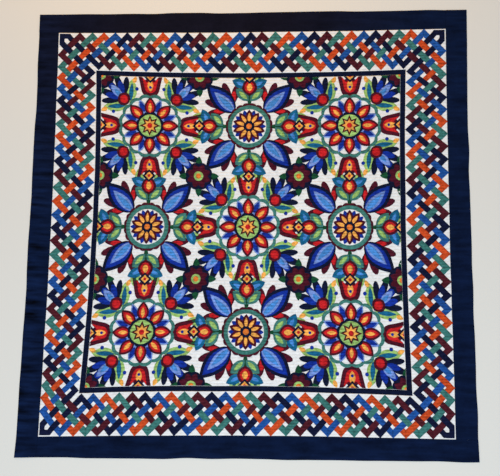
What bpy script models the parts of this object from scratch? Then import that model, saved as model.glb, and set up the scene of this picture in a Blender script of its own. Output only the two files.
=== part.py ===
"""Ralli quilt, laid flat with its face up.

Thirteen panels of quilted cloth: a centre field, a narrow navy frame round it, four strips
that carry the plaited border, and a plain navy outer border. Metres, +Z up, +Y towards the
quilt's top edge. The origin is the middle of its flat underside.

Every panel is first set out on a true rectangle, then laid() moves it to where the cloth
really lies: the rows of stitching have drawn the quilt in, so its seams bow inwards.
"""
import math
from collections import namedtuple

import bmesh
import bpy

GAP = 0.0003  # between two panels, at a seam

# The seams, as true rectangles, and how far the laid cloth departs from each.
# A corner is its shift to the right and up; a pull is how far the side's middle is drawn in.
Seam = namedtuple("Seam", "half_width half_length top_left top_right bottom_right bottom_left "
                          "pull_left pull_right pull_top pull_bottom")
EDGE = Seam(1.120, 1.155, (0.002, 0.0025), (0.0, 0.0025), (0.002, -0.0025), (-0.002, -0.0025),
            0.008, 0.009, 0.0025, 0.004)
PLAIT = Seam(1.0135, 1.050, (0.0005, 0.001), (-0.0025, 0.001), (-0.001, 0.0), (0.003, -0.006),
             0.010, 0.005, 0.008, 0.012)
FRAME = Seam(0.804, 0.8325, (-0.001, 0.006), (-0.002, -0.003), (0.006, -0.011), (-0.0145, -0.010),
             0.0235, 0.015, 0.0175, 0.0155)
FRAME_WIDTH = 0.026  # of the narrow navy frame
FIELD_HALF_WIDTH = FRAME.half_width - FRAME_WIDTH
FIELD_HALF_LENGTH = FRAME.half_length - FRAME_WIDTH

# The rows of running stitch that quilt everything inside the outer border
ROW = 0.0162  # from one row to the next
CREST = 0.0050  # the cloth's thickness between two rows
TROUGH = 0.0034  # and along a row
SEAM_SHARE = 0.35  # how much of the swelling is left where a panel is sewn to its neighbour
HALF_SWOLLEN = 0.5  # swelling on a line that is neither in a row nor between two
ROW_CLEAR = 0.0065  # no row is nearer than this to a seam that runs along it

# The outer border isn't quilted: it lies in soft puckers across its width
BORDER = 0.0040  # its thickness
PUCKER = 0.0011  # how far a pucker rises or falls
PUCKER_PITCH = 0.113  # from one pucker to the next
PUCKER_STRAY = 0.009  # and how far one strays from its even place
HEM = 0.0028  # thickness of the turned outer edge
HEM_WIDTH = 0.009
# From the outer edge to the seam: thickness, and the share of the puckers that shows there
BORDER_PROFILE = ((HEM, 0.0), (BORDER, 0.5), (BORDER, 0.8), (BORDER, 1.0), (TROUGH, 0.4))

# The folds it was stored in, as shallow troughs that cross the whole quilt.
# Each row is one fold: its height on the quilt at the left and right edge, depth and half width.
Fold = namedtuple("Fold", "left right depth reach")
FOLDS = (
    Fold(0.365, 0.437, 0.0010, 0.020),
    Fold(0.012, 0.010, 0.0009, 0.009),
    Fold(-0.408, -0.345, 0.0010, 0.020),
)

# Slow waves over the cloth: height, then the distance from one wave to the next to the right
# and upwards, then where it starts. Two move the rows from their ruled lines, two lift the padding.
Wave = namedtuple("Wave", "height across up start")
WANDER = (Wave(0.0013, 0.83, 0.21, 0.0), Wave(0.0008, 0.31, -0.13, 0.0))
SWELLS = (Wave(0.00025, 0.47, 0.90, 0.0), Wave(0.00020, 0.78, -0.36, 1.0))

COLUMN = 0.27  # about how far apart the points along a row are
SEAM_COLUMN = 0.007  # and how near a seam the swelling reaches its full height
UNDERSIDE_ROWS = 10  # the flat underside has a point at the rim every so many rows

NAVY = (0.010, 0.014, 0.040, 1.0)
BORDER_NAVY = (0.009, 0.013, 0.045, 1.0)
GROUND = (0.78, 0.74, 0.66, 1.0)
ROUGHNESS = 0.85


def pulled(seam, x, y):
    """Shift of a point by one seam: its corners' shifts blended, and its sides drawn in."""
    s = max(-1.0, min(1.0, x / seam.half_width))
    t = max(-1.0, min(1.0, y / seam.half_length))
    left, right, low, high = (1 - s) / 2, (1 + s) / 2, (1 - t) / 2, (1 + t) / 2
    shift = [
        left * high * seam.top_left[k] + right * high * seam.top_right[k]
        + right * low * seam.bottom_right[k] + left * low * seam.bottom_left[k]
        for k in (0, 1)
    ]
    shift[0] += (left * seam.pull_left - right * seam.pull_right) * (1 - t * t)
    shift[1] += (low * seam.pull_bottom - high * seam.pull_top) * (1 - s * s)
    return shift


def laid(x, y):
    """Where a point of the true rectangle lies: its shift runs evenly from seam to seam."""
    for inner, outer in ((FRAME, PLAIT), (PLAIT, EDGE)):
        across = (abs(x) - inner.half_width) / (outer.half_width - inner.half_width)
        along = (abs(y) - inner.half_length) / (outer.half_length - inner.half_length)
        share = max(across, along)
        if share <= 1 or outer is EDGE:
            break
    share = max(0.0, min(1.0, share))
    near, far = pulled(inner, x, y), pulled(outer, x, y)
    return [c + (1 - share) * near[k] + share * far[k] for k, c in enumerate((x, y))]


def wavy(waves, x, y):
    """Sum of some slow waves at a point."""
    return sum(w.height * math.sin(2 * math.pi * (x / w.across + y / w.up) + w.start) for w in waves)


def unevenness(x, y):
    """Slow rise and fall of the padding, and the shallow troughs of the old folds."""
    rise = wavy(SWELLS, x, y)
    for fold in FOLDS:
        at = fold.left + (fold.right - fold.left) * (x / EDGE.half_width + 1) / 2
        rise -= fold.depth * math.exp(-(((y - at) / fold.reach) ** 2))
    return rise


def stations(low, high):
    """Columns from low to high: near both seams, and at the places all panels share."""
    shared = {i * COLUMN for i in range(-4, 5)}
    for seam in (PLAIT.half_width, FRAME.half_width, FIELD_HALF_WIDTH):
        shared |= {seam, -seam}
    inside = [c for c in shared if low + 2 * SEAM_COLUMN < c < high - 2 * SEAM_COLUMN]
    return [low, low + SEAM_COLUMN, *sorted(inside), high - SEAM_COLUMN, high]


def quilted_lines(low, high):
    """Lines along the rows as (y, swelling, kept): swelling is 0 in a row and 1 between two rows.

    A kept line has a point on the underside too. Where the panel passes the corner of
    an inner seam, it has a line of its own there, because its side bends there.
    """
    if high - low < 2 * FRAME_WIDTH:
        return [(low, 0.0, True), ((low + high) / 2, 1.0, True), (high, 0.0, True)]
    bends = [y for y in (-FRAME.half_length, FRAME.half_length) if low + ROW_CLEAR < y < high - ROW_CLEAR]
    lines = [(low, 0.0, True), (high, 0.0, True)] + [(y, HALF_SWOLLEN, True) for y in bends]
    for half in range(math.ceil(2 * low / ROW), math.floor(2 * high / ROW) + 1):
        y = half * ROW / 2
        beside_bend = any(abs(y - bend) < ROW / 4 for bend in bends)
        if low + ROW_CLEAR < y < high - ROW_CLEAR and not beside_bend:
            lines.append((y, float(half % 2), half % (2 * UNDERSIDE_ROWS) == 0))
    return sorted(lines)


def quilted_panel(x0, x1, y0, y1):
    """Points of a quilted panel's face, row by row, and which rows and columns are kept below."""
    columns, lines = stations(x0, x1), quilted_lines(y0, y1)
    if x1 - x0 < 2 * FRAME_WIDTH:
        columns = [x0, (x0 + x1) / 2, x1]
    points = []
    for y, swelling, _ in lines:
        row = []
        for i, x in enumerate(columns):
            stray = 0.0 if swelling == HALF_SWOLLEN or y in (y0, y1) else wavy(WANDER, x, y)
            share = SEAM_SHARE if i in (0, len(columns) - 1) else 1.0
            thick = TROUGH + (CREST - TROUGH) * swelling * share + unevenness(x, y)
            row.append((*laid(x, y + stray), thick))
        points.append(row)
    return points, [kept for _, _, kept in lines], [True] * len(columns)


def border_strip(x0, x1, y0, y1):
    """Points of an outer border strip: puckers across it, thin at the turned outer edge."""
    long_x = x1 - x0 > y1 - y0
    low, high = (x0, x1) if long_x else (y0, y1)
    count = round((high - low) / (PUCKER_PITCH / 2))
    step = (high - low) / count
    lengths = [low + step * i + (PUCKER_STRAY * math.sin(2.4 * i) if 0 < i < count else 0.0)
               for i in range(count + 1)]
    bend = PLAIT.half_width if long_x else PLAIT.half_length
    for corner in (-bend, bend):  # the strip's inner side bends at the plait's corner
        if low + step < corner < high - step:
            lengths[min(range(count + 1), key=lambda i: abs(lengths[i] - corner))] = corner
    near, far = sorted((y0, y1) if long_x else (x0, x1), key=abs)
    inward = math.copysign(1.0, near - far)
    across = [far, far + inward * HEM_WIDTH, (near + far) / 2, near - inward * HEM_WIDTH, near]
    points = []
    for i, length in enumerate(lengths):
        row = []
        for place, (thick, share) in zip(across, BORDER_PROFILE):
            x, y = (length, place) if long_x else (place, length)
            pucker = PUCKER * share * math.cos(math.pi * i) if 0 < i < count else 0.0
            row.append((*laid(x, y), thick + pucker + unevenness(x, y)))
        points.append(row)
    return points, [True] * len(lengths), [True] * len(across)


def solid(name, panel_points, material, collection):
    """A closed panel: a grid takes the face's points, and is extruded to the flat underside."""
    points, kept_rows, kept_columns = panel_points
    rows, columns = len(points) - 1, len(points[0]) - 1
    bm = bmesh.new()
    spare = bm.verts.layers.int.new("spare")
    bmesh.ops.create_grid(bm, x_segments=columns, y_segments=rows, size=0.5)
    for vert in bm.verts:
        i, j = round((vert.co.x + 0.5) * columns), round((vert.co.y + 0.5) * rows)
        vert[spare] = not (kept_rows[j] and kept_columns[i])
        vert.co = points[j][i]
    made = bmesh.ops.extrude_face_region(bm, geom=bm.faces[:], use_keep_orig=True)["geom"]
    for vert in (e for e in made if isinstance(e, bmesh.types.BMVert)):
        vert.co.z = 0.0
    under = [f for f in bm.faces if all(v.co.z == 0.0 for v in f.verts)]
    bmesh.ops.dissolve_faces(bm, faces=under, use_verts=True)
    upright = [e for e in bm.edges
               if all(v[spare] for v in e.verts) and (e.verts[0].co.z == 0.0) != (e.verts[1].co.z == 0.0)]
    bmesh.ops.dissolve_edges(bm, edges=upright, use_verts=True)
    bmesh.ops.recalc_face_normals(bm, faces=bm.faces[:])
    if bm.calc_volume(signed=True) < 0:
        bmesh.ops.reverse_faces(bm, faces=bm.faces[:])
    mesh = bpy.data.meshes.new(name)
    bm.to_mesh(mesh)
    bm.free()
    mesh.materials.append(material)
    collection.objects.link(bpy.data.objects.new(name, mesh))


def pinwheel(half_width, half_length, inner_width, inner_length):
    """Four strips round a rectangle, each butted against the next one's side."""
    a, b, c, d = half_width, half_length, inner_width, inner_length
    return {
        "top": (-a, c, d, b),
        "right": (c, a, -d, b),
        "bottom": (-c, a, -b, -d),
        "left": (-a, -c, -b, d),
    }


def cloth(name, colour):
    material = bpy.data.materials.new(name)
    material.use_nodes = True
    shader = material.node_tree.nodes["Principled BSDF"]
    shader.inputs["Base Color"].default_value = colour
    shader.inputs["Roughness"].default_value = ROUGHNESS
    shader.inputs["Metallic"].default_value = 0.0
    return material


def main():
    for old in list(bpy.data.objects):
        bpy.data.objects.remove(old, do_unlink=True)
    quilt = bpy.data.collections.new("ralli_quilt")
    bpy.context.scene.collection.children.link(quilt)

    def panel(name, place, points_of, colour):
        x0, x1, y0, y1 = place
        inset = GAP / 2
        points = points_of(x0 + inset, x1 - inset, y0 + inset, y1 - inset)
        solid(name, points, cloth(name, colour), quilt)

    field = (-FIELD_HALF_WIDTH, FIELD_HALF_WIDTH, -FIELD_HALF_LENGTH, FIELD_HALF_LENGTH)
    panel("field", field, quilted_panel, GROUND)
    rounds = (
        ("frame", FRAME[:2], field[1::2], quilted_panel, NAVY),
        ("plait", PLAIT[:2], FRAME[:2], quilted_panel, GROUND),
        ("border", EDGE[:2], PLAIT[:2], border_strip, BORDER_NAVY),
    )
    for name, outside, inside, points_of, colour in rounds:
        for side, place in pinwheel(*outside, *inside).items():
            panel(f"{name}_{side}", place, points_of, colour)


main()
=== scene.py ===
# %% [markdown]
# # A ralli quilt, spread out flat
#
# A ralli is a patchwork cover: thin layers of cotton, motifs cut and sewn on by hand, and straight
# rows of running stitch that hold it together. The frame holds thirteen plain panels in metres, with
# the flat underside at height 0 and +Y towards the top edge. The pattern could be painted on them,
# but real patches have edges and thickness, so here every patch is a small mesh.

import math
from collections import namedtuple
from functools import partialmethod

import bpy
import numpy as np
from mathutils import Matrix, Vector
from mathutils.geometry import delaunay_2d_cdt


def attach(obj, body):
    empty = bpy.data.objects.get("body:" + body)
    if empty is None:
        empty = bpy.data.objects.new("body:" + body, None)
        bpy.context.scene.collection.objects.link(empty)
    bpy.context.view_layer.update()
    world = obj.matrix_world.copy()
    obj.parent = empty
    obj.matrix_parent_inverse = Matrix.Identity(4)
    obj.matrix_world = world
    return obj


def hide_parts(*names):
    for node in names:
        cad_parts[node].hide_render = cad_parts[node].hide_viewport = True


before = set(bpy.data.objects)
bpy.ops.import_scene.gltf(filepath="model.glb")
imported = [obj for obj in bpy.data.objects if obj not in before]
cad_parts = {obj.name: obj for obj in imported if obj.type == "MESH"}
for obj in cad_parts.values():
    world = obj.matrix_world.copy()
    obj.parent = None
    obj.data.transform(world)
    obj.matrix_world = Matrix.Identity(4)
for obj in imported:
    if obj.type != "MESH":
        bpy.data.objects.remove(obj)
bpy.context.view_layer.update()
TAU = 2 * math.pi


def new_object(name, data):
    thing = bpy.data.objects.new(name, data)
    bpy.context.scene.collection.objects.link(thing)
    return thing


# %% [markdown]
# ## The camera
#
# The photograph looks down on the quilt from about 6 m, tipped 13 degrees off square. The place is
# given the other way round, as where the quilt's middle lies seen from the camera, in quilt widths.

# %% Camera
IMAGE_WIDTH = 500
FOCAL_LENGTH = 1200.0  # in pixels of that image
SENSOR = 36.0
QUILT_WIDTH = 2.24
TILT, YAW = math.radians(-13.13), math.radians(-3.43)
QUILT_SEEN_AT = (-0.005, 0.026, -2.695)

to_camera = Matrix.Rotation(YAW, 3, "Y") @ Matrix.Rotation(TILT, 3, "X")
seen_at = QUILT_WIDTH * np.array(QUILT_SEEN_AT)
camera = new_object("camera", bpy.data.cameras.new("camera"))
camera.data.lens = FOCAL_LENGTH * SENSOR / IMAGE_WIDTH
camera.data.sensor_width = SENSOR
camera.matrix_world = (
    Matrix.Translation(-(np.array(to_camera).T @ seen_at)) @ to_camera.transposed().to_4x4()
)
bpy.context.scene.camera = camera
print("camera at", [round(c, 2) for c in camera.matrix_world.translation])

# %% [markdown]
# ## Where the cloth lies
#
# The panels were ruled as true rectangles, but rows of stitching draw a quilt in, so its seams bow
# inwards. Every shape is set out on the true rectangles and then laid where the cloth lies, along
# the same seams as the plain panels. A wobble of a millimetre comes on top, because nothing here was
# cut by machine. It grows to three on the outer edge.

# %% Seams, and soft noise
Seam = namedtuple("Seam", "half_width half_length top_left top_right bottom_right bottom_left "
                          "pull_left pull_right pull_top pull_bottom")
EDGE = Seam(1.120, 1.155, (0.002, 0.0025), (0.0, 0.0025), (0.002, -0.0025), (-0.002, -0.0025),
            0.008, 0.009, 0.0025, 0.004)
PLAIT = Seam(1.0135, 1.050, (0.0005, 0.001), (-0.0025, 0.001), (-0.001, 0.0), (0.003, -0.006),
             0.010, 0.005, 0.008, 0.012)
FRAME = Seam(0.804, 0.8325, (-0.001, 0.006), (-0.002, -0.003), (0.006, -0.011), (-0.0145, -0.010),
             0.0235, 0.015, 0.0175, 0.0155)
FRAME_WIDTH = 0.026
FIELD_HALF = np.array([FRAME.half_width - FRAME_WIDTH, FRAME.half_length - FRAME_WIDTH])
GAP = 0.0003  # between two panels
WOBBLE, WOBBLE_SIZE = 0.0011, 0.12
EDGE_WOBBLE = 0.002  # more on the outer edge, which is free of the quilting
LATTICE_SIZE, LATTICE_START = (97, 89), (37.3, 41.7)
LATTICE = np.random.default_rng(11).uniform(-1, 1, (7, *LATTICE_SIZE))  # a layer for each use


def smooth(t):
    """Rises from 0 to 1 as t does, level at both ends: 3 t squared less 2 t cubed."""
    t = np.clip(t, 0, 1)
    return t * t * (3 - 2 * t)


def noise(layer, x, y, across, up=None):
    """Soft noise from -1 to 1: random numbers on a grid of this size, blended smoothly between."""
    x, y = np.broadcast_arrays(x / across + LATTICE_START[0], y / (up or across) + LATTICE_START[1])
    i, j = np.floor(x).astype(int), np.floor(y).astype(int)
    a, b = smooth(x - i), smooth(y - j)
    wide, high = LATTICE_SIZE
    (p, q), (r, s) = ([LATTICE[layer, (i + m) % wide, (j + n) % high] for m in (0, 1)] for n in (0, 1))
    return (1 - b) * ((1 - a) * p + a * q) + b * ((1 - a) * r + a * s)


def pulled(seam, x, y):
    """Shift of points by one seam: its corners' shifts blended, and its sides drawn in."""
    s, t = np.clip(x / seam.half_width, -1, 1), np.clip(y / seam.half_length, -1, 1)
    left, right, low, high = (1 - s) / 2, (1 + s) / 2, (1 - t) / 2, (1 + t) / 2
    corners = (left * high, right * high, right * low, left * low)
    shift_x, shift_y = (sum(w * corner[k] for w, corner in zip(corners, seam[2:6])) for k in (0, 1))
    shift_x += (left * seam.pull_left - right * seam.pull_right) * (1 - t * t)
    shift_y += (low * seam.pull_bottom - high * seam.pull_top) * (1 - s * s)
    return np.array([shift_x, shift_y])


def share_between(inner, outer, x, y):
    """0 on the inner seam and 1 on the outer one."""
    across = (abs(x) - inner.half_width) / (outer.half_width - inner.half_width)
    along = (abs(y) - inner.half_length) / (outer.half_length - inner.half_length)
    return np.clip(np.maximum(across, along), 0, 1)


def laid(x, y):
    """Where points of the true rectangles lie: each shift runs evenly from seam to seam."""
    inner, middle, outer = (pulled(seam, x, y) for seam in (FRAME, PLAIT, EDGE))
    shift = inner + share_between(FRAME, PLAIT, x, y) * (middle - inner)
    out = share_between(PLAIT, EDGE, x, y)
    shift += out * (outer - middle)
    shift += (WOBBLE + out * EDGE_WOBBLE) * np.array([noise(k, x, y, WOBBLE_SIZE) for k in (0, 1)])
    return x + shift[0], y + shift[1]


corner = [round(float(c), 4) for c in laid(np.array(EDGE.half_width), np.array(EDGE.half_length))]
print("the top right corner lies at", corner)

# %% [markdown]
# ## How the quilting raises it
#
# A row of running stitch runs across the quilt every 16 mm. It pins the layers down, and between
# two rows they swell in a low arch. So height needs only one extra number: v, how far up a point
# is in ruled rows. The rows wander a little from their ruled lines, which is the difference
# between v and y. Near a seam the arch is flatter. Three shallow troughs are the folds that the
# quilt was stored in.

# %% Relief of the quilted cloth
ROW = 0.0162
CREST, TROUGH = 0.0050, 0.0034
ARCH = 0.8  # under 1, an arch is fuller than a sine
SEAM_SHARE, SEAM_REACH = 0.35, 0.007
LUMPS, LUMP_SIZE = 0.42, 0.027

Wave = namedtuple("Wave", "height across up start")
WANDER = (Wave(0.0013, 0.83, 0.21, 0.0), Wave(0.0008, 0.31, -0.13, 0.0))
SWELLS = (Wave(0.00025, 0.47, 0.90, 0.0), Wave(0.00020, 0.78, -0.36, 1.0))
Fold = namedtuple("Fold", "left right depth reach")
FOLDS = (
    Fold(0.365, 0.437, 0.0010, 0.020),
    Fold(0.012, 0.010, 0.0009, 0.009),
    Fold(-0.408, -0.345, 0.0010, 0.020),
)


def wavy(waves, x, y):
    """Sum of some slow sine waves."""
    return sum(w.height * np.sin(TAU * (x / w.across + y / w.up) + w.start) for w in waves)


def unevenness(x, y):
    """Slow rise and fall of the padding, less a bell-shaped trough along each old fold."""
    rise = wavy(SWELLS, x, y)
    for fold in FOLDS:
        at = fold.left + (fold.right - fold.left) * (x / EDGE.half_width + 1) / 2
        rise = rise - fold.depth * np.exp(-(((y - at) / fold.reach) ** 2))
    return rise


def height_of(x, v):
    """The ruled height y of points that are v up in rows."""
    return v + wavy(WANDER, x, v)


def rows_up(x, y):
    """Undoes height_of: v is y less the wander at v, found in three steps."""
    v = y
    for _ in range(3):
        v = y - wavy(WANDER, x, v)
    return v


def beside_seam(x, y):
    """Distance to the nearest of the three seams that the quilting stops at."""
    seams = (FIELD_HALF, FRAME[:2], PLAIT[:2])
    return np.minimum.reduce([abs(np.maximum(abs(x) - w, abs(y) - l)) for w, l in seams])


def relief(x, v):
    """Thickness of the cloth: a trough in each row of stitches, a lumpy arch between two."""
    y = height_of(x, v)
    arch = abs(np.sin(math.pi * v / ROW)) ** ARCH
    share = SEAM_SHARE + (1 - SEAM_SHARE) * smooth(beside_seam(x, y) / SEAM_REACH)
    lumps = 1 + LUMPS * noise(2, x, v, LUMP_SIZE, ROW)
    return TROUGH + (CREST - TROUGH) * arch * share * lumps + unevenness(x, y)


ARCH_STEPS = np.array([0.0, 0.15, 0.38, 0.62, 0.85])  # where the mesh follows an arch, in rows


def arch_lines(low, high):
    """Every v from low to high at which the meshes have a line of points."""
    rows = np.arange(math.floor(low / ROW), math.ceil(high / ROW) + 1)
    lines = (rows[:, None] + ARCH_STEPS).ravel() * ROW
    return lines[(lines > low) & (lines < high)]


print("thickness in a row and between two:",
      [round(float(relief(np.array(0.3), np.array(v))) * 1000, 1) for v in (10 * ROW, 10.5 * ROW)], "mm")

# %% [markdown]
# ## From points to closed cloth
#
# A panel is a grid of points with a rim that drops to the flat underside. NumPy works out all the
# points at once and the mesh takes them in one call. The UV map holds (x, v), so a material can
# find the rows of stitches on any piece, and a number called tone lets each patch be a little
# lighter or darker than the next one of its colour.

# %% Mesh helpers
UNDER_ROWS, UNDER_COLUMNS = 30, 8  # the underside has a point inside at every so many
made = {}


def mesh_piece(name, points, faces, uv, tone=0.0, creased=None):
    """One object from arrays: points, faces as index lists, and (x, v) for each point."""
    mesh = bpy.data.meshes.new(name)
    mesh.from_pydata(points, [], faces)
    mesh.update()
    loops = np.empty(len(mesh.loops), int)
    mesh.loops.foreach_get("vertex_index", loops)
    mesh.uv_layers.new(name="cloth").data.foreach_set("uv", np.asarray(uv)[loops].astype(np.float32).ravel())
    tones = np.full(len(points), tone, np.float32)
    mesh.attributes.new("tone", "FLOAT", "POINT").data.foreach_set("value", tones)
    mesh.shade_smooth()
    if creased is not None:
        mesh.attributes.new("sharp_face", "BOOLEAN", "FACE").data.foreach_set("value", creased)
    piece = new_object(name, mesh)
    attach(piece, "root")
    made[name] = piece
    return piece


def round_edge(grid):
    """The outermost points of a grid, in turn."""
    return np.concatenate([grid[0], grid[1:, -1], grid[-1, -2::-1], grid[-2:0:-1, 0]])


def sheet_faces(rows, columns):
    """Quads of a grid, its wall down to the underside, and the underside in larger cells.

    The underside keeps the rim's points and, inside, only those where kept rows and columns meet.
    """
    at = np.arange(rows * columns).reshape(rows, columns)
    top = np.stack([at[:-1, :-1], at[:-1, 1:], at[1:, 1:], at[1:, :-1]], -1).reshape(-1, 4)
    some_rows = np.unique(np.r_[0:rows - 1:UNDER_ROWS, rows - 1])
    some_columns = np.unique(np.r_[0:columns - 1:UNDER_COLUMNS, columns - 1])
    kept = np.zeros((rows, columns), bool)
    kept[[0, -1]] = kept[:, [0, -1]] = kept[np.ix_(some_rows, some_columns)] = True
    under = np.where(kept, rows * columns + kept.cumsum().reshape(kept.shape) - 1, -1)
    rim = [round_edge(at), round_edge(under)]
    wall = np.stack([rim[0], rim[1], np.roll(rim[1], -1), np.roll(rim[0], -1)], -1)
    below = []
    for r0, r1 in zip(some_rows, some_rows[1:]):
        for c0, c1 in zip(some_columns, some_columns[1:]):
            cell = round_edge(under[r0:r1 + 1, c0:c1 + 1])
            below.append(cell[cell >= 0][::-1].tolist())
    return top.tolist() + wall.tolist() + below, np.flatnonzero(kept)


def closed_sheet(name, x, y, v, z):
    """A closed panel from grids of ruled places, rows and heights."""
    faces, kept = sheet_faces(*x.shape)
    lie_x, lie_y = laid(x, y)
    top = np.stack([lie_x, lie_y, z], -1).reshape(-1, 3)
    uv = np.stack([x, v], -1).reshape(-1, 2)
    return mesh_piece(name, np.r_[top, top[kept] * [1, 1, 0]], faces, np.r_[uv, uv[kept]])


# %% [markdown]
# ## The quilted panels
#
# A point every 12 mm along a row is enough for the slow swells, but an arch needs five lines of
# points from row to row. Two lines close to each side follow the arch as it flattens there.

# %% Field, frame and plait panels
COLUMN = 0.0125
NEAR_SEAM = np.array([0.0022, 0.0055])
ROW_CLEAR = 0.0026  # no arch line is nearer to a seam, and no row wanders that far


def columns_between(low, high):
    """Evenly spaced places, with two more near each end."""
    inner = np.linspace(low, high, max(3, round((high - low) / COLUMN)) + 1)[1:-1]
    return np.unique(np.r_[low, low + NEAR_SEAM, inner, high - NEAR_SEAM, high])


def quilted_sheet(name, x0, x1, y0, y1):
    """A quilted panel: v runs up in arch lines, and the first and last line lie on the seams."""
    columns = columns_between(x0, x1)
    lines = arch_lines(y0 + ROW_CLEAR, y1 - ROW_CLEAR)
    x, v = np.meshgrid(columns, np.r_[y0, lines, y1])
    y = height_of(x, v)
    y[0], y[-1] = y0, y1
    v[[0, -1]] = rows_up(x[[0, -1]], y[[0, -1]])
    return closed_sheet(name, x, y, v, relief(x, v))


def pinwheel(outer, inner):
    """Four strips round a rectangle, each butted against the next one's side."""
    (a, b), (c, d) = outer, inner
    return {"top": (-a, c, d, b), "right": (c, a, -d, b), "bottom": (-c, a, -b, -d), "left": (-a, -c, -b, d)}


def inset(place):
    """The panel's rectangle, less half a gap on each side."""
    x0, x1, y0, y1 = place
    return x0 + GAP / 2, x1 - GAP / 2, y0 + GAP / 2, y1 - GAP / 2


places = {"field": (-FIELD_HALF[0], FIELD_HALF[0], -FIELD_HALF[1], FIELD_HALF[1])}
for ring, outer, inner in (("frame", FRAME[:2], FIELD_HALF), ("plait", PLAIT[:2], FRAME[:2])):
    places |= {f"{ring}_{side}": place for side, place in pinwheel(outer, inner).items()}
for node, place in places.items():
    quilted_sheet(f"{node}_cloth", *inset(place))
print("quilted panels:", {n: len(o.data.polygons) for n, o in made.items()})

# %% [markdown]
# ## The outer border
#
# The border isn't quilted, so the cloth is free to pucker. The puckers are about 11 cm apart and
# stray from their even places. They are highest near the plait, where the stitching gathers the
# cloth, and die out at the turned edge. The hem is a doubled edge with a line of stitches 9 mm in.

# %% Border strips
BORDER, HEM, HEM_WIDTH = 0.0040, 0.0028, 0.009
# From the outer edge to the seam: thickness, and the share of the puckers that shows there
BORDER_PROFILE = ((HEM, 0.0), (BORDER, 0.5), (BORDER, 0.8), (BORDER, 1.0), (TROUGH, 0.4))
HEM_DENT, DENT_REACH = 0.0005, 0.0011  # depth and half width of the hem's line of stitches
EDGE_SHARE, EDGE_ROUND = 0.45, 0.0026  # how thick the very edge is, and how far in it is rounded
PUCKER, PUCKER_PITCH, PUCKER_STRAY, STRAY_TURN = 0.0011, 0.113, 0.009, 2.4
CREASES, CREASE_SIZE, CREASE_FADE = 0.00055, 0.026, 0.02
EDGE_DISTANCES = np.array([0, 0.4, 1.2, 2.6, 5, 7.4, 8.4, 9, 9.8, 11.5, 15, 22, 31, 41, 51, 61, 71,
                           80, 88, 94, 98, 101]) / 1000
CLOSEST = 0.002  # of those, the last one stays this far from the seam


def pucker_phase(length, low, high, bend):
    """How many half puckers lie before a place, and their number along the whole strip."""
    count = round((high - low) / (PUCKER_PITCH / 2))
    i = np.arange(count + 1)
    step = (high - low) / count
    at = low + step * i + np.where((i > 0) & (i < count), PUCKER_STRAY * np.sin(STRAY_TURN * i), 0)
    for corner_at in (-bend, bend):
        if low + step < corner_at < high - step:
            at[abs(at - corner_at).argmin()] = corner_at
    return np.interp(length, at, i), count


def border_height(edge_gap, width, phase, count):
    """Hem, flat of the border and slope to the seam, with the puckers' cosine on top."""
    stops = (0, HEM_WIDTH, width / 2, width - HEM_WIDTH, width)
    thick, share = (np.full(edge_gap.shape, value) for value in BORDER_PROFILE[0])
    for start, stop, (t0, s0), (t1, s1) in zip(stops, stops[1:], BORDER_PROFILE, BORDER_PROFILE[1:]):
        part = smooth((edge_gap - start) / (stop - start))
        thick += (t1 - t0) * part
        share += (s1 - s0) * part
    ends = np.clip(np.minimum(phase, count - phase), 0, 1)
    thick += PUCKER * share * ends * np.cos(math.pi * phase)
    thick -= HEM_DENT * np.exp(-(((edge_gap - HEM_WIDTH) / DENT_REACH) ** 2))
    return thick * (EDGE_SHARE + (1 - EDGE_SHARE) * np.sqrt(np.clip(edge_gap / EDGE_ROUND, 0, 1)))


def border_sheet(name, x0, x1, y0, y1):
    """An outer strip: places along it, and distances in from the outer edge."""
    level = x1 - x0 > y1 - y0
    low, high, bend = (x0, x1, PLAIT.half_width) if level else (y0, y1, PLAIT.half_length)
    near, far = sorted((y0, y1) if level else (x0, x1), key=abs)
    width = abs(far - near)
    gaps = np.r_[EDGE_DISTANCES[EDGE_DISTANCES < width - CLOSEST], width]
    across = np.sort(far + math.copysign(1.0, near - far) * gaps)
    lengths = columns_between(low, high)
    x, y = np.meshgrid(lengths, across) if level else np.meshgrid(across, lengths)
    length, place = (x, y) if level else (y, x)
    edge_gap = abs(place - far)
    z = border_height(edge_gap, width, *pucker_phase(length, low, high, bend))
    fine = noise(3, x, y, CREASE_SIZE, 2 * CREASE_SIZE) + noise(4, x, y, 2.2 * CREASE_SIZE)
    z += CREASES * fine * smooth(edge_gap / CREASE_FADE) + unevenness(x, y)
    return closed_sheet(name, x, y, y, z)


for side, place in pinwheel(EDGE[:2], PLAIT[:2]).items():
    places[f"border_{side}"] = place
    border_sheet(f"border_{side}_cloth", *inset(place))
print("border strips:", {n: len(o.data.polygons) for n, o in made.items() if n.startswith("border")})

# %% [markdown]
# ## Patches
#
# A patch is any closed outline. It has to follow the arches below it, so it's cut into triangles
# along the same lines of points that the panels have, and a wall as high as the patch closes it at
# its edge. Blender's constrained triangulation does the cutting: it takes the outline and the arch
# lines as edges that must stay. The outline may have a hole, so a line counts as inside between
# its first and second crossing, its third and fourth, and so on.

# %% Cutting a patch
EDGE_STEP, LINE_STEP = 0.009, 0.014
WALL_LEAN, WALL_SUNK = 0.0002, 0.0004  # a patch's wall spreads outwards and ends in the cloth below
HAND_CUT, HAND_CUT_SIZE = 0.0007, 0.03
hand = np.random.default_rng(5)  # deals out the tones


def fine_outline(ring):
    """The ring with a point at least every EDGE_STEP, run anticlockwise."""
    area = np.sum(ring[:, 0] * np.roll(ring[:, 1], -1) - ring[:, 1] * np.roll(ring[:, 0], -1))
    ring = ring if area > 0 else ring[::-1]
    after = np.roll(ring, -1, 0)
    pieces = np.maximum(1, np.ceil(np.linalg.norm(after - ring, axis=1) / EDGE_STEP)).astype(int)
    start = np.repeat(np.arange(len(ring)), pieces)
    step = np.arange(pieces.sum()) - np.repeat(np.cumsum(pieces) - pieces, pieces)
    t = (step / pieces[start])[:, None]
    return ring[start] * (1 - t) + after[start] * t


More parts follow.
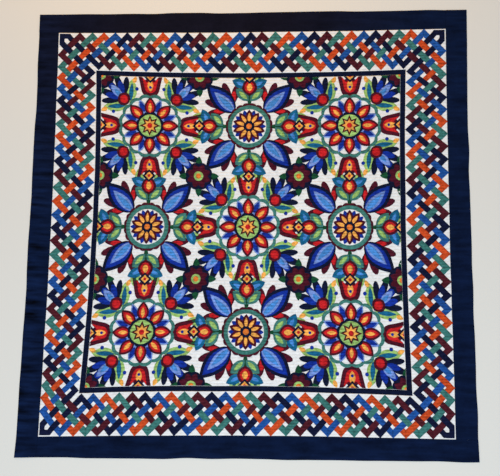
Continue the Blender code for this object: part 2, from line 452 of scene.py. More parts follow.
def crossings(rings, v):
    """Where each side of the outline crosses each height, or minus infinity where it doesn't."""
    x0, y0 = np.concatenate(rings).T[..., None]
    x1, y1 = np.concatenate([np.roll(ring, -1, 0) for ring in rings]).T[..., None]
    with np.errstate(divide="ignore", invalid="ignore"):
        at = x0 + (v - y0) / (y1 - y0) * (x1 - x0)
    return np.where((y0 < v) != (y1 < v), at, -np.inf)


def inside(rings, points):
    """True where a line to the right of a point crosses the outline an odd number of times."""
    return (crossings(rings, points[:, 1]) > points[:, 0]).sum(0) % 2 == 1


def cut_patch(rings):
    """Points (x, v) and triangles of a patch whose rings are given in (x, v)."""
    points, edges = [], []
    for ring in rings:
        first = len(points)
        points += ring.tolist()
        edges += [(first + k, first + (k + 1) % len(ring)) for k in range(len(ring))]
    lines = arch_lines(rings[0][:, 1].min(), rings[0][:, 1].max())
    for v, found in zip(lines, crossings(rings, lines).T):
        ends = np.sort(found[found > -np.inf])
        for left, right in zip(ends[::2], ends[1::2]):
            first, count = len(points), max(1, math.ceil((right - left) / LINE_STEP))
            points += [(x, v) for x in np.linspace(left, right, count + 1)]
            edges += [(first + k, first + k + 1) for k in range(count)]
    cut = delaunay_2d_cdt(points, edges, [], 1, 1e-6, False)
    points, triangles = np.array([p[:] for p in cut[0]]), np.array(cut[2])
    middles = points[triangles].mean(1)
    return points, triangles[inside(rings, middles)]


def rim_of(triangles):
    """Edges that only one triangle has, run with that triangle."""
    sides = np.concatenate([triangles[:, [0, 1]], triangles[:, [1, 2]], triangles[:, [2, 0]]])
    known = set(map(tuple, sides.tolist()))
    return np.array([side for side in sides.tolist() if (side[1], side[0]) not in known])


class Pile:
    """Patches of one colour, gathered to be joined in one piece."""

    def __init__(self):
        self.uv, self.lift, self.tone, self.outward = [], [], [], []
        self.faces, self.walls, self.count = [], [], 0

    def add(self, rings, lift):
        """Adds a patch, given in ruled (x, y); lift is a height, or a function of (x, y)."""
        tone = hand.normal()
        shaken = []
        for ring in rings:
            x, y = fine_outline(ring).T
            shake_x, shake_y = (HAND_CUT * noise(k, x, y, HAND_CUT_SIZE) for k in (5, 6))
            shaken.append(np.c_[x + shake_x, rows_up(x + shake_x, y + shake_y)])
        points, triangles = cut_patch(shaken)
        if not len(triangles):
            return
        rim = rim_of(triangles)
        out = np.zeros_like(points)
        run = points[rim[:, 1]] - points[rim[:, 0]]
        normal = np.c_[run[:, 1], -run[:, 0]] / np.maximum(np.linalg.norm(run, axis=1), 1e-9)[:, None]
        np.add.at(out, rim[:, 0], normal / 2)
        np.add.at(out, rim[:, 1], normal / 2)
        on_rim = np.unique(rim)
        below = np.zeros(len(points), int)
        below[on_rim] = len(points) + np.arange(len(on_rim))
        x, y = points[:, 0], height_of(*points.T)
        high = lift(x, y) if callable(lift) else np.full(len(points), lift)
        self.uv += [points, points[on_rim]]
        self.lift += [high, np.full(len(on_rim), -WALL_SUNK)]
        self.outward += [0 * points, out[on_rim] * WALL_LEAN]
        self.tone += [np.full(len(points) + len(on_rim), tone)]
        self.faces += (triangles + self.count).tolist()
        wall = np.stack([rim[:, 0], below[rim[:, 0]], below[rim[:, 1]], rim[:, 1]], -1)
        self.walls += (wall + self.count).tolist()
        self.count += len(points) + len(on_rim)

    def piece(self, name):
        """Joins the pile: every point stands its lift above the cloth."""
        uv, lift, outward = (np.concatenate(part) for part in (self.uv, self.lift, self.outward))
        x, v = uv.T
        lie_x, lie_y = laid(x, height_of(x, v))
        points = np.c_[lie_x + outward[:, 0], lie_y + outward[:, 1], relief(x, v) + lift]
        creased = np.arange(len(self.faces) + len(self.walls)) >= len(self.faces)
        tone = np.concatenate(self.tone)
        return mesh_piece(name, points, self.faces + self.walls, uv, tone, creased)


def join_piles(part, piles):
    """Makes one piece of each colour's patches."""
    for colour, pile in piles.items():
        pile.piece(f"{part}_{colour}")
        print(part, colour, len(pile.faces) + 2 * len(pile.walls), "triangles")


test = cut_patch([fine_outline(np.array([(0, 0), (0.05, 0), (0.05, 0.05), (0, 0.05)]))])
print("a 50 mm square becomes", len(test[1]), "triangles")

# %% [markdown]
# ## The plaited border
#
# Ribbons of five colours cross at right angles, over one and under the next, and fold back at the
# edges of a ring. It's ruled in units, 31 to a side, with X to the right and Y down from
# the ring's top left corner. Ribbon i runs down to the right on the line X - Y = i + 1/2, is folded
# where it meets an edge, and carries on past the middle of the quilt. Colours repeat every fifth
# ribbon, so a ribbon always meets one of its own colour at a fold. Both are cut there on the line
# between them, as a mitre. The ribbons that run up to the right are the same ones in a mirror.
#
# Nobody measured this plait out. Its folds crowd towards the corners and stand wider in the middle
# of each side, by up to a third of a unit, and the fold in the very middle is squeezed narrow. The
# folds on the inner edge stray less. So every place is ruled evenly first and then strays.

# %% Lines and mitres of the plait
UNIT = np.array([0.06377, 0.06605])
SIDE = 31
RING_WIDTH = 2.5  # between the lines on which the ribbons fold
RIBBON_COLOURS = ("navy", "maroon", "teal", "orange", "blue")
SPREAD = 0.05  # at the corners two ribbons stand this much further apart
HALF_RIBBON = 0.316  # half its width, measured upright across the slant
SQUARE_CUT = 1.0  # X + Y where the corner's loop takes over
CORNER = 1.0  # the outer folds stray from this far along a side
# How far they crowd to the corners, shift right or down, squeeze the fold in the middle, and how
# far the last folds spread outwards
OUTER_STRAY = {"top": (0.26, 0.04, 0.19, 0.12), "bottom": (0.38, -0.09, 0.25, 0.18),
               "left": (0.34, 0.05, 0.09, 0.0), "right": (0.34, 0.05, 0.10, 0.02)}
INNER_STRAY = {"top": (0.12, 0.14, 0.17, 0.0), "bottom": (0.04, 0.01, 0.16, 0.0),
               "left": (0.08, 0.09, 0.0, 0.0), "right": (0.13, -0.11, 0.0, 0.0)}
SHIFT_RAMP = 5  # the level shift grows over a fifth of the side
MIDDLE_FOLD, LAST_FOLD, STRAY_REACH = 0.8, 0.2, 3.5  # where squeeze and ends begin, and how far they fade
# Across a side the plait is wider than ruled, so that its folds reach the seams
FULLER, FULL_FROM, FULLER_FADE = 0.075, 1.35, 2


def stray_along(u, depth, near, far, across):
    """Stray along a side: less a sine from corner to corner, a level shift, the squeeze, the ends.

    u runs along the side and depth from its outer edge, 0, to its inner one, 1. The stray blends
    from the near side of the quilt to the far one as across goes from 0 to 1.
    """
    start = CORNER + (RING_WIDTH - CORNER) * depth
    t = np.clip((u - start) / (SIDE - 2 * start), 0, 1)
    m = u - SIDE / 2
    end = np.minimum(u, SIDE - u)
    shapes = (-np.sin(TAU * t), smooth(SHIFT_RAMP * t) * smooth(SHIFT_RAMP * (1 - t)),
              -np.clip(m / MIDDLE_FOLD, -1, 1) * np.clip(1 - abs(m) / STRAY_REACH, 0, 1),
              np.sign(m) * smooth(end - LAST_FOLD) * (1 - smooth((end - LAST_FOLD - 1) / STRAY_REACH)))
    outer, inner = ([a + (b - a) * across for a, b in zip(table[near], table[far])]
                    for table in (OUTER_STRAY, INNER_STRAY))
    return sum(shape * (a + (b - a) * depth) for shape, a, b in zip(shapes, outer, inner))


def strayed(units):
    """Adds the stray to ruled places; across a side it is even, and fades out two units further in."""
    units = np.asarray(units, float)
    end = np.minimum(units, SIDE - units)
    depth, across = np.clip(end / RING_WIDTH, 0, 1), np.clip(units / SIDE, 0, 1)
    along = np.stack([stray_along(units[..., 0], depth[..., 1], "top", "bottom", across[..., 1]),
                      stray_along(units[..., 1], depth[..., 0], "left", "right", across[..., 0])], -1)
    fade = 1 - smooth((end - RING_WIDTH) / FULLER_FADE)
    fuller = FULLER * (np.minimum(end, RING_WIDTH) - FULL_FROM) * fade
    return units + along + np.where(units < SIDE / 2, fuller, -fuller)


def ruled(units):
    """Units to metres on the ruled quilt."""
    return (strayed(units) - SIDE / 2) * UNIT * [1, -1]


def units_at(x, y):
    """Undoes ruled, in three steps."""
    found = start = np.stack([x, -y], -1) / UNIT + SIDE / 2
    for _ in range(3):
        found = start - (strayed(found) - found)
    return found[..., 0], found[..., 1]


def down_line(i):
    """X - Y along ribbon i; the two nearest the corners stand a little apart."""
    return i + 0.5 + {0: SPREAD, -1: -SPREAD}.get(i, 0)


def up_line(j):
    """X + Y along ribbon j of those that run up to the right."""
    return j + 0.5 + {SIDE - 1: -SPREAD, SIDE: SPREAD}.get(j, 0)


def slanted(a, start, end):
    """A ribbon on X - Y = a between two cuts: on a given X, on a given Y, or square, on a given X + Y."""
    def cut(kind, at):
        upper, lower = a + HALF_RIBBON, a - HALF_RIBBON
        if kind == "X":
            return (at, at - upper), (at, at - lower)
        if kind == "Y":
            return (at + upper, at), (at + lower, at)
        return ((at + upper) / 2, (at - upper) / 2), ((at + lower) / 2, (at - lower) / 2)
    (p, q), (r, s) = cut(*start), cut(*end)
    return np.array([p, r, s, q])


def legs(i):
    """The straight runs of ribbon i: across the top of the ring, and across its right side."""
    a = down_line(i)
    last = 2 * SIDE - 1 - i
    top = ("X", (a + up_line(i)) / 2) if i else ("square", SQUARE_CUT)
    right = ("Y", (up_line(last) - a) / 2) if i else ("square", 2 * SIDE - SQUARE_CUT)
    turn = int(2 * RING_WIDTH)
    if i > SIDE - 1 - turn:
        return [slanted(a, top, right)] if i < SIDE - 1 else []
    inner_top = ("X", (a + up_line(i + turn)) / 2)
    inner_right = ("Y", (up_line(last - turn) - a) / 2)
    return [slanted(a, top, inner_top), slanted(a, inner_right, right)]


print(sum(len(legs(i)) for i in range(SIDE)) * 4, "straight runs")

# %% [markdown]
# Where two ribbons cross, one is raised and the other pressed down. Along a ribbon the crossings
# come one unit apart, so a cosine of the distance does both. It fades out at the folds, where
# the two runs lie level. In each corner the two navy ribbons join in a loop round a small opening.

# %% Weave and sew the plait
CLEAR, WEAVE, FOLD_FADE = 0.0009, 0.00045, 0.22
LOOP_SIDE, OPENING = -0.19, 0.20  # where the loop's outer sides and its opening's near sides lie
FAR_CUT, FAR_BACK, NEAR_CUT, TIP_CUT = 0.02, 0.04, 0.08, 0.015  # off the corners of the opening


def corner_loop():
    """Outline of the loop: its half beyond the diagonal, in by the opening, and the mirror image."""
    outer, inner = down_line(0) + HALF_RIBBON, down_line(0) - HALF_RIBBON
    half = [(outer + LOOP_SIDE, LOOP_SIDE),
            *(((SQUARE_CUT + edge) / 2, (SQUARE_CUT - edge) / 2) for edge in (outer, inner)),
            (inner + OPENING + FAR_CUT, OPENING + FAR_CUT), (inner + OPENING - FAR_BACK, OPENING),
            (OPENING + NEAR_CUT, OPENING)]
    tip = OPENING + TIP_CUT
    return np.array([(LOOP_SIDE, LOOP_SIDE), *half, (tip, tip), *[(b, a) for a, b in half[::-1]]])


def woven(index, runs_down):
    """Height of a ribbon over the cloth: up over even crossings, down under odd ones."""
    def lift(x, y):
        across, below = units_at(x, y)
        inward = np.minimum.reduce([across, below, SIDE - across, SIDE - below])
        fade = smooth(np.minimum(inward, RING_WIDTH - inward) / FOLD_FADE)
        wave = np.cos(math.pi * ((across + below if runs_down else across - below) - 0.5 - index))
        return CLEAR + WEAVE * fade * wave * (1 if runs_down else -1)
    return lift


plait = {colour: Pile() for colour in RIBBON_COLOURS}
for n in range(SIDE):
    for run in legs(n):
        for i, outline in ((n, run), (-1 - n, run[:, ::-1])):
            plait[RIBBON_COLOURS[n % 5]].add([ruled(outline)], woven(i, True))
            mirrored = ruled(outline * [-1, 1] + [SIDE, 0])
            plait[RIBBON_COLOURS[-n % 5]].add([mirrored], woven(SIDE - 1 - i, False))
for flips in ((False, False), (False, True), (True, False), (True, True)):
    flipped = np.where(flips, SIDE - corner_loop(), corner_loop())
    plait["navy"].add([ruled(flipped)], CLEAR)
join_piles("plait", plait)

# %% [markdown]
# ## Shapes for the field's motifs
#
# The field carries flowers, stars, leaves and buds, all drawn from a few formulas. Each function
# gives one outline round the point (0, 0), upright, and a motif turns and shifts copies of it.

# %% Outlines
def turned(points, angle):
    c, s = math.cos(angle), math.sin(angle)
    return points @ np.array([[c, s], [-s, c]])


def around(count):
    """Angles of so many points evenly round a circle."""
    return np.linspace(0, TAU, count, endpoint=False)


def polar(radius, angle):
    return np.c_[radius * np.cos(angle), radius * np.sin(angle)]


def circle(radius, sides):
    return polar(radius, around(sides))


def petal(base, tip, width, belly=1.0, blunt=0.8, steps=11):
    """Half width is a sine of the way along; belly moves the widest place, blunt rounds the ends."""
    t = np.linspace(0, 1, steps)
    half = width / 2 * np.sin(np.pi * t ** belly) ** blunt
    y = base + (tip - base) * t
    return np.r_[np.c_[half, y], np.c_[-half, y][-2:0:-1]]


def scallops(count, radius, bulge, steps=6):
    """A circle whose radius swells with the size of a sine, count times round."""
    a = around(count * steps)
    return polar(radius * (1 + bulge * abs(np.sin(count * a / 2)) ** 0.8), a)


def star(points, outer, inner):
    """Corners on two circles by turns."""
    return polar(np.where(np.arange(2 * points) % 2, inner, outer), around(2 * points) + TAU / 4)


def fan(count, base, tip, spread, steps=7):
    """Round-ended fingers from one point, the middle one longest, over spread radians each way."""
    t = np.linspace(0, 1, count * steps + 1)
    finger = 1 - abs(2 * ((t * count) % 1) - 1) ** 1.8
    finger[[0, -1]] = 0
    longest = 1 - 0.28 * abs(2 * t - 1)
    r = base + (tip * longest - base) * (0.45 + 0.55 * finger)
    return np.r_[polar(r, TAU / 4 + spread * (2 * t - 1)), [[0, 0]]]


def tulip(size):
    """A cup with two lips, from six points on its right side, smoothed and mirrored."""
    right = np.array([(0, -0.5), (0.30, -0.36), (0.42, 0.05), (0.50, 0.52), (0.20, 0.20), (0, 0.60)])
    p = np.r_[right, (right * [-1, 1])[-2:0:-1]]
    before, after, later = np.roll(p, 1, 0), np.roll(p, -1, 0), np.roll(p, -2, 0)
    t = np.linspace(0, 1, 4, endpoint=False)[None, :, None]
    p0, p1, p2, p3 = (q[:, None] for q in (before, p, after, later))
    curve = (2 * p1 + (p2 - p0) * t + (2 * p0 - 5 * p1 + 4 * p2 - p3) * t ** 2
             + (3 * p1 - p0 - 3 * p2 + p3) * t ** 3) / 2
    return size * curve.reshape(-1, 2)


print("a petal has", len(petal(0, 1, 0.3)), "points, a tulip", len(tulip(1)))

# %% [markdown]
# ## The field's blocks
#
# The field is three blocks by three: a scalloped wheel in five of them and a ringed rosette in
# the others, with a flower at every corner and a lozenge between each two corners. Sizes are in
# halves of a block's side, so the block's edges are at 1. The order says what is sewn on what:
# within a motif, a patch with a higher number goes on later.

# %% Block designs
EIGHTH = TAU / 8


def stack(first, layers, copies=1, turn=0.0, at=(0, 0), lean=0.0, pairs=False, hole=None):
    """Rounds of patches sewn one on another: each has its order, its colour and its copies' rings.

    The copies go round the middle. Lean turns an outline first, and pairs adds its mirror image.
    """
    rounds = []
    for order, (colour, outline) in enumerate(layers.items(), first):
        rings = [turned(ring, lean) + at for ring in (outline, hole) if ring is not None]
        rounds.append((order, colour, [
            [turned(ring * mirror, -turn - TAU * k / copies) for ring in rings]
            for mirror in ((1, 1), (-1, 1))[:1 + pairs] for k in range(copies)
        ]))
    return rounds


# Star in a scalloped wheel, tulips on the four sides, lotus buds to the corners
WHEEL = (
    stack(1, {"lime": petal(0, 0.50, 0.22), "petrol": petal(0.05, 0.42, 0.09)},
          4, EIGHTH, (0.03, 0.60), -0.86, pairs=True)
    + stack(3, {"navy": fan(5, 0.12, 0.60, 1.12)}, 4, EIGHTH, (0, 0.74))
    + stack(4, {"royal": fan(3, 0.10, 0.47, 0.85)}, 4, EIGHTH, (0, 0.755))
    + stack(5, {"periwinkle": petal(0.02, 0.38, 0.15)}, 4, EIGHTH, (0, 0.76))
    + stack(6, {"sky": petal(0.04, 0.26, 0.085)}, 4, EIGHTH, (0, 0.77))
    + stack(7, {"maroon": petal(-0.13, 0.13, 0.27, 1.0, 0.6), "red": petal(-0.095, 0.085, 0.165, 1.0, 0.6)},
            4, EIGHTH, (0, 0.755))
    + stack(2, {"maroon": tulip(0.50)}, 4, at=(0, 0.83))
    + stack(3, {"red": tulip(0.31)}, 4, at=(0, 0.820))
    + stack(4, {"yellow": petal(-0.10, 0.15, 0.115)}, 4, at=(0, 0.79))
    + stack(5, {"royal": circle(0.028, 14)}, 4, at=(0, 0.78))
    + stack(9, {"teal": scallops(16, 0.60, 0.07)}, hole=scallops(16, 0.540, 0.07))
    + stack(10, {"periwinkle": petal(0.20, 0.575, 0.17, 0.75), "royal": petal(0.30, 0.535, 0.10, 0.75)},
            8, EIGHTH / 2)
    + stack(12, {"maroon": petal(0.18, 0.575, 0.23), "red": petal(0.22, 0.53, 0.155),
                 "yellow": petal(0.27, 0.46, 0.075)}, 8)
    + stack(15, {"navy": scallops(12, 0.255, 0.10), "lime": circle(0.225, 32),
                 "maroon": star(8, 0.210, 0.120), "yellow": star(8, 0.145, 0.082), "red": circle(0.052, 16)})
    + stack(3, {"yellow": petal(-0.07, 0.07, 0.085, 0.8, 0.7)}, 4, at=(0.315, 0.93), lean=0.4, pairs=True)
    + stack(3, {"royal": circle(0.036, 14)}, 4, at=(0.275, 0.745), pairs=True)
)

# Rosette in a ring, layered almonds to the corners, sprigs on the four sides
ROSETTE = (
    stack(1, {"maroon": fan(5, 0.14, 0.64, 1.25), "red": fan(5, 0.10, 0.48, 1.16)}, 4, EIGHTH, (0, 0.50))
    + stack(1, {"lime": petal(0, 0.42, 0.19), "green": petal(0.04, 0.34, 0.075)},
            4, EIGHTH, (0.40, 0.62), -0.62, pairs=True)
    + stack(3, {"navy": petal(0.40, 1.22, 0.42, 0.85, 0.9), "royal": petal(0.42, 1.13, 0.31, 0.85, 0.9),
                "periwinkle": petal(0.42, 1.00, 0.20, 0.85, 0.9), "sky": petal(0.46, 0.90, 0.11, 0.80, 0.9)},
            4, EIGHTH)
    + stack(3, {"green": petal(0.36, 0.86, 0.10)}, 4)
    + stack(4, {"teal": petal(0, 0.36, 0.19), "lime": petal(0.05, 0.28, 0.085)},
            4, at=(0.01, 0.52), lean=-0.80, pairs=True)
    + stack(3, {"petrol": petal(0, 0.36, 0.19), "sky": petal(0.05, 0.27, 0.075)},
            4, at=(0.02, 0.80), lean=-1.15, pairs=True)
    + stack(6, {"maroon": petal(-0.17, 0.20, 0.30, 0.85), "red": petal(-0.125, 0.145, 0.205, 0.85),
                "yellow": petal(-0.08, 0.09, 0.11, 0.85)}, 4, at=(0, 0.80))
    + stack(9, {"maroon": scallops(20, 0.445, 0.06), "teal": circle(0.425, 40), "white": circle(0.345, 36)})
    + stack(12, {"royal": petal(0.10, 0.34, 0.11)}, 10, TAU / 20)
    + stack(13, {"maroon": petal(0.05, 0.335, 0.14), "yellow": petal(0.07, 0.27, 0.068)}, 10)
    + stack(15, {"navy": scallops(8, 0.098, 0.15), "orange": circle(0.057, 14)})
)

# Eight petals on a scalloped ground, with a leaf between each two blocks
FLOWER = (
    stack(20, {"green": petal(0.12, 0.40, 0.13)}, 4)
    + stack(21, {"navy": scallops(8, 0.245, 0.12)})
    + stack(22, {"maroon": petal(0.02, 0.245, 0.14)}, 8, EIGHTH / 2)
    + stack(23, {"lime": circle(0.095, 20), "orange": circle(0.052, 14)})
)
LOZENGE = stack(20, {"navy": star(2, 0.13, 0.13), "yellow": star(2, 0.08, 0.08), "red": circle(0.030, 12)})

HALF_BLOCK = FIELD_HALF / 3
layout = []
for row in range(-3, 4):
    for column in range(-3, 4):
        if row % 2 == 0 and column % 2 == 0:
            motif = WHEEL if (row + column) % 4 == 0 else ROSETTE
        else:
            motif = FLOWER if row % 2 and column % 2 else LOZENGE
        centre = np.array([column, row])
        layout += [(order, colour, [[(ring + centre) * HALF_BLOCK for ring in rings] for rings in copies])
                   for order, colour, copies in motif]
layout.sort(key=lambda sewn: sewn[0])
print(sum(len(copies) for _, _, copies in layout), "patches in the field")

# %% [markdown]
# ## Sewing the field
#
# A real patch lies as high as the pile of patches under it. A coarse map of the field keeps that
# pile: each patch looks up the highest pile under its outline, lies one cloth higher, and raises
# the map there. Petals of one round overlap only their neighbours, so every second one lies half a
# cloth higher. The field's edge trims what reaches past it, where the frame's strip is sewn over.

# %% Sew the motifs in order
CLOTH = 0.00036  # how much one patch adds
HALF_STEP = 0.5
PILE_CELL = 0.004
SEAM_ALLOWANCE = 0.0012
SMALLEST = 0.003


def trimmed(ring):
    """The outline inside the field: each side keeps the points within it and adds the crossings."""
    for axis in (0, 1):
        for side in (1, -1):
            room = FIELD_HALF[axis] - SEAM_ALLOWANCE - side * ring[:, axis]
            after, room_after = np.roll(ring, -1, 0), np.roll(room, -1)
            within = room >= 0
            cut = within != (room_after >= 0)
            t = np.where(cut, room / np.where(cut, room - room_after, 1), 0)[:, None]
            both = np.stack([ring, ring + t * (after - ring)], 1).reshape(-1, 2)
            ring = both[np.stack([within, cut], 1).ravel()]
            if len(ring) < 3:
                return ring
    return ring


def cells_under(rings):
    """The map's cells in a patch, those within a cell of it, and the part of the map they are in."""
    low, high = rings[0].min(0), rings[0].max(0)
    first = np.maximum(((low + FIELD_HALF) / PILE_CELL).astype(int) - 1, 0)
    last = ((high + FIELD_HALF) / PILE_CELL).astype(int) + 2
    part = tuple(slice(a, b) for a, b in zip(first, last))
    grid = np.meshgrid(*(middles[p] for middles, p in zip(cells, part)), indexing="ij")
    covered = inside(rings, np.stack(grid, -1).reshape(-1, 2)).reshape(grid[0].shape)
    wide = np.pad(covered, 1)
    near = wide[1:-1, 1:-1] | wide[:-2, 1:-1] | wide[2:, 1:-1] | wide[1:-1, :-2] | wide[1:-1, 2:]
    return part, covered, near


cells = [np.arange(-half + PILE_CELL / 2, half, PILE_CELL) for half in FIELD_HALF]
pile_map = np.zeros([len(c) for c in cells])
field = {}
for order, colour, copies in layout:
    placed = []
    for k, rings in enumerate(copies):
        rings = [trimmed(ring) for ring in rings]
        if len(rings[0]) > 2 and np.ptp(rings[0], axis=0).min() > SMALLEST:
            part, covered, near = cells_under(rings)
            level = 1 + k % 2 * HALF_STEP + pile_map[part][near].max(initial=0)
            placed.append((part, covered, level))
            field.setdefault(colour, Pile()).add(rings, CLOTH * level)
    for part, covered, level in placed:
        pile_map[part][covered] = np.maximum(pile_map[part][covered], level)
join_piles("field", field)
print("the highest pile is", pile_map.max(), "patches")

# %% [markdown]
# ## Cotton
#
# Plain woven cotton is matt, and its colour is never quite even: the dyeing is blotchy and threads
# differ. Painted shade darkens the stitched troughs, patchily along the rows. The cloth between the
# rows is finely crinkled too, because it shrank more than the stitches did, and the shade of its
# puckers and crinkles is painted into the colour besides their bump. One finish does all of this for
# every colour. It reads (x, v) from the UV map, so it finds the rows of stitches by itself. The
# border's is creased from side to side too, with the creases' shade painted in, and round a spot near
# the head its navy is painted blacker and less blue, as warm lamplight shows it. The maths is written
# as expressions on a small class that wraps a node's socket.

# %% Shader maths
class Value:
    """A number that varies over a surface; arithmetic on it adds Math nodes."""

    def __init__(self, finish, socket):
        self.finish, self.socket = finish, socket

    def maths(self, operation, *others):
        return self.finish.node("Math", {"operation": operation}, dict(enumerate((self, *others))))

    __add__ = __radd__ = partialmethod(maths, "ADD")
    __sub__ = partialmethod(maths, "SUBTRACT")
    __mul__ = __rmul__ = partialmethod(maths, "MULTIPLY")

    def __rsub__(self, other):
        return self * -1 + other

    def low(self, edge, width):
        """1 where the value is under the edge, fading to 0 over the width."""
        return self.finish.node(
            "MapRange", {"interpolation_type": "SMOOTHSTEP"},
            {"Value": self, "From Min": edge, "From Max": edge + width, "To Min": 1.0, "To Max": 0.0})


class Finish:
    """A material and its nodes."""

    def __init__(self, name):
        self.material = bpy.data.materials.new(name)
        self.material.use_nodes = True
        self.tree = self.material.node_tree
        self.shader = self.tree.nodes["Principled BSDF"]

    def node(self, kind, settings=None, inputs=None, output=0):
        made_node = self.tree.nodes.new("ShaderNode" + kind)
        for key, value in (settings or {}).items():
            setattr(made_node, key, value)
        for key, value in (inputs or {}).items():
            self.feed(made_node.inputs[key], value)
        return Value(self, made_node.outputs[output])

    def feed(self, socket, value):
        if isinstance(value, Value):
            self.tree.links.new(value.socket, socket)
        else:
            socket.default_value = value

    def set(self, **inputs):
        for key, value in inputs.items():
            self.feed(self.shader.inputs[key.replace("_", " ")], value)

    def stretched_noise(self, place, across, up, detail):
        """Noise from about -1 to 1 whose blotches are this size, in metres."""
        scaled = self.node("VectorMath", {"operation": "MULTIPLY"},
                           {0: place, 1: (1 / across, 1 / up, 1.0)})
        cloud = self.node("TexNoise", {"noise_dimensions": "2D"},
                          {"Vector": scaled, "Scale": 1.0, "Detail": detail})
        return (cloud - 0.5) * 2.8


def linear(red, green, blue):
    """A colour picker's 0 to 255 to the light that Blender works in."""
    share = np.array([red, green, blue]) / 255
    return tuple(np.where(share < 0.04045, share / 12.92, ((share + 0.055) / 1.055) ** 2.4).tolist())


GROUND = (236, 232, 230)
print("the ground's white is", [round(c, 2) for c in linear(*GROUND)])

# %% [markdown]
# Every number here is a real size: the stitches are 3.5 mm long with gaps of 2.5 mm, the threads
# of the weave about half a millimetre apart. Heights go through one Bump node, in millimetres.

# %% Cotton in any colour
STITCH, STITCH_SHARE, THREAD = 0.006, 0.58, 0.00035
PINNED, DENTED = 0.0028, 0.0012  # how far from a row the cloth is drawn down, and dented by the thread
MILLIMETRE = 0.001
# How long and how high the blotches of each kind are, and how much finer detail they have
DYE, PUCKERS, CRINKLES = (0.11, 0.08, 3.0), (0.020, 0.012, 2.0), (0.009, 0.006, 3.0)
GATHERS, WARP, WEFT = (0.005, 0.020, 1.0), (0.0006, 0.012, 1.0), (0.012, 0.0006, 1.0)
BORDER_CREASES = (0.17, 0.024, 1.5)
# Where painted warm lamplight turns the border blackest and least blue, how far that reaches, and over how
# much more it fades
LAMPLIT_SPOT, LAMPLIT_REACH = (-0.25, 1.10, 0.0), (0.30, 1.05)


def cotton(name, colour, quilted=True, fade=0.45, thread_tone=0.72, uneven=0.07, rumples_and_shade=3.2,
           lamplit_colour=None):
    """Matt cotton: blotchy dyeing, slubs, crinkles, and where it is quilted, rows of stitches.

    Its colour carries painted shade: darker in the stitched troughs, by the share fade, and over the puckers
    and crinkles. A second colour makes it the border's: creased, with the creases' shade painted in, and
    turned to that colour round a spot near the head as painted warm lamplight.
    """
    f = Finish(name)
    place = f.node("UVMap", {"uv_map": "cloth"})
    tone = f.node("Attribute", {"attribute_name": "tone"}, output=2)
    blotches, crinkles, puckers, gathers, warp, weft = (
        f.stretched_noise(place, *size) for size in (DYE, CRINKLES, PUCKERS, GATHERS, WARP, WEFT))
    shade = 1 + tone * 0.05 + blotches * uneven + (warp + weft) * 0.03
    # Painted shade: the puckers and crinkles lighten and darken the colour, besides their bump below.
    shade = shade + (puckers * 1.5 + crinkles) * (0.08 * rumples_and_shade)
    height = puckers * (0.45 + 0.35 * rumples_and_shade) + crinkles * 0.25 + gathers * 0.10 + (warp + weft) * 0.02
    x, v = (f.node("SeparateXYZ", None, {0: place}, output=k) for k in (0, 1))
    if quilted:
        row = v * (1 / ROW)
        number = row.maths("ROUND")
        gap = (row - number).maths("ABSOLUTE") * ROW
        pinned = gap.low(0.0, PINNED)
        along = (x * (1 / STITCH) + number * 0.37 + crinkles * 0.12).maths("FRACT")
        stitch = gap.low(THREAD, 0.0002) * along.low(STITCH_SHARE, 0.06)
        # Painted shade: the cloth is darkened towards each stitched trough, patchily, by the share fade.
        patchy_shade = 0.6 + gathers * 0.5
        shade = shade * (1 - pinned * patchy_shade * fade) * (1 - stitch * (1 - thread_tone))
        height = height - pinned * 0.55 - gap.low(0.0, DENTED) * 0.25 + stitch * 0.22
    dye_and_lamp_tint = linear(*colour)
    # Painted light: round a spot near the head the navy is mixed towards a blacker, less blue colour, as
    # warm lamplight shows it.
    if lamplit_colour:
        away = f.node("VectorMath", {"operation": "DISTANCE"}, {0: place, 1: LAMPLIT_SPOT}, output=1)
        near = away.low(*LAMPLIT_REACH)
        dye_and_lamp_tint = f.node("Mix", {"data_type": "RGBA"},
                     {0: near, 6: (*dye_and_lamp_tint, 1.0), 7: (*linear(*lamplit_colour), 1.0)}, output=2)
        # Painted shade: the border's creases darken and lighten its colour, more on the left strip and less
        # round the lamplit spot, besides their bump.
        crease_relief_and_shade = f.stretched_noise(place, *BORDER_CREASES) * (1 - near * 0.7)
        shade = shade + crease_relief_and_shade * (0.38 + 0.62 * x.low(-1.10, 0.15))
        height = height + crease_relief_and_shade * 1.5
    # The cloth's colour with all its painted shade and light.
    colour_with_painted_shade = f.node("VectorMath", {"operation": "SCALE"}, {0: dye_and_lamp_tint, "Scale": shade})
    bump = f.node("Bump", None, {"Height": height, "Distance": MILLIMETRE, "Strength": 1.0})
    f.set(Base_Color=colour_with_painted_shade, Normal=bump, Roughness=0.92, Metallic=0.0, Specular_IOR_Level=0.05,
          Sheen_Weight=0.01, Sheen_Roughness=0.5)
    return f.material


CLOTHS = {
    "plait": {"navy": (20, 25, 54), "maroon": (80, 28, 38), "teal": (62, 118, 112),
              "orange": (204, 76, 36), "blue": (33, 80, 151)},
    "field": {"navy": (18, 24, 50), "maroon": (78, 22, 38), "teal": (66, 122, 114),
              "orange": (236, 128, 54), "red": (200, 36, 40), "lime": (158, 194, 110),
              "yellow": (250, 175, 84), "royal": (22, 50, 150), "sky": (76, 140, 212),
              "petrol": (26, 98, 138), "green": (26, 76, 50), "periwinkle": (122, 150, 216)},
}
finishes = {
    # On the white ground the painted shade in the troughs is faint.
    "ground": cotton("ground_cotton", GROUND, fade=0.05, thread_tone=0.86, uneven=0.06, rumples_and_shade=1.0),
    "frame": cotton("frame_cotton", (14, 21, 46)),
    # The border's second colour is painted lamplight: its navy as the warm lamp near the head shows it.
    "border": cotton("border_cotton", (9, 22, 50), quilted=False, uneven=0.30, rumples_and_shade=1.0,
                     lamplit_colour=(18, 17, 30)),
}
for part, colours in CLOTHS.items():
    for colour, rgb in colours.items():
        finishes[f"{part}_{colour}"] = cotton(f"{part}_{colour}_cotton", rgb)
finishes["field_white"] = finishes["ground"]
print(len(finishes), "cottons")
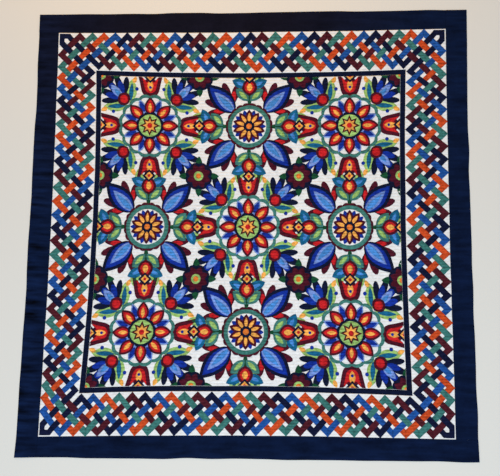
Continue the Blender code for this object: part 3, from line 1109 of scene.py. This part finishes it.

# %% [markdown]
# ## Dressing the panels
#
# Each panel's cloth stands for the plain panel of its name, which is hidden, and takes a finish. It
# lies flat, cut to the size of its ruled rectangle. Each colour of patches takes the finish of its
# own name.

# %% Finishes, and the plain panels hidden
for name, piece in made.items():
    part, rest = name.split("_", 1)
    if rest.endswith("cloth"):
        node = name.removesuffix("_cloth")
        finish = {"field": "ground", "plait": "ground"}.get(part, part)
        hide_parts(node)
    else:
        finish = name
    piece.data.materials.append(finishes[finish])
triangles = {name: sum(len(p.vertices) - 2 for p in piece.data.polygons) for name, piece in made.items()}
print(sum(triangles.values()), "triangles in all, the most in one piece", max(triangles.values()))

# %% [markdown]
# ## Floor and light
#
# Light that falls straight down would hide the quilting. A big soft light hangs high over the
# quilt's foot, so that each arch has a lit and a shaded side. It's slightly cool, as the sky is, and
# a faint warm lamp stands low behind the head.

# %% Floor, lights and sky
FLOOR_HALF, FLOOR_DROP = 6.0, 0.0006
COOL, WARM, SKY_STRENGTH = (0.82, 0.92, 1.0), (1.0, 0.50, 0.04), 0.38
corners = [(x * FLOOR_HALF, y * FLOOR_HALF, -FLOOR_DROP) for x, y in ((-1, -1), (1, -1), (1, 1), (-1, 1))]
floor_mesh = bpy.data.meshes.new("floor")
floor_mesh.from_pydata(corners, [], [(0, 1, 2, 3)])
floor = new_object("floor", floor_mesh)
floor_finish = Finish("floor")
floor_finish.set(Base_Color=(*linear(226, 220, 212), 1.0), Roughness=0.9)
floor_mesh.materials.append(floor_finish.material)


def soft_light(name, place, aim, size, watts, colour):
    """A square area light that looks at a point."""
    lamp = bpy.data.lights.new(name, "AREA")
    lamp.size, lamp.energy, lamp.color = size, watts, colour
    light = new_object(name, lamp)
    way = np.array(aim) - place
    light.matrix_world = (Matrix.Translation(place)
                          @ Vector(way).to_track_quat("-Z", "Y").to_matrix().to_4x4())


soft_light("window", (0.1, -2.4, 5.2), (0, 0, 0), 2.6, 236, COOL)
soft_light("lamp", (-0.4, 2.6, 1.5), (-0.1, 1.0, 0), 1.8, 29, WARM)
world = bpy.data.worlds.new("sky")
world.use_nodes = True
background = world.node_tree.nodes["Background"]
background.inputs["Color"].default_value = (*COOL, 1.0)
background.inputs["Strength"].default_value = SKY_STRENGTH
bpy.context.scene.world = world
bpy.context.scene.view_settings.view_transform = "Standard"
print("two lights and a pale sky")

# %% [markdown]
# ## Last update
#
# The view layer is brought up to date once more.

# %% Update the view layer
bpy.context.view_layer.update()
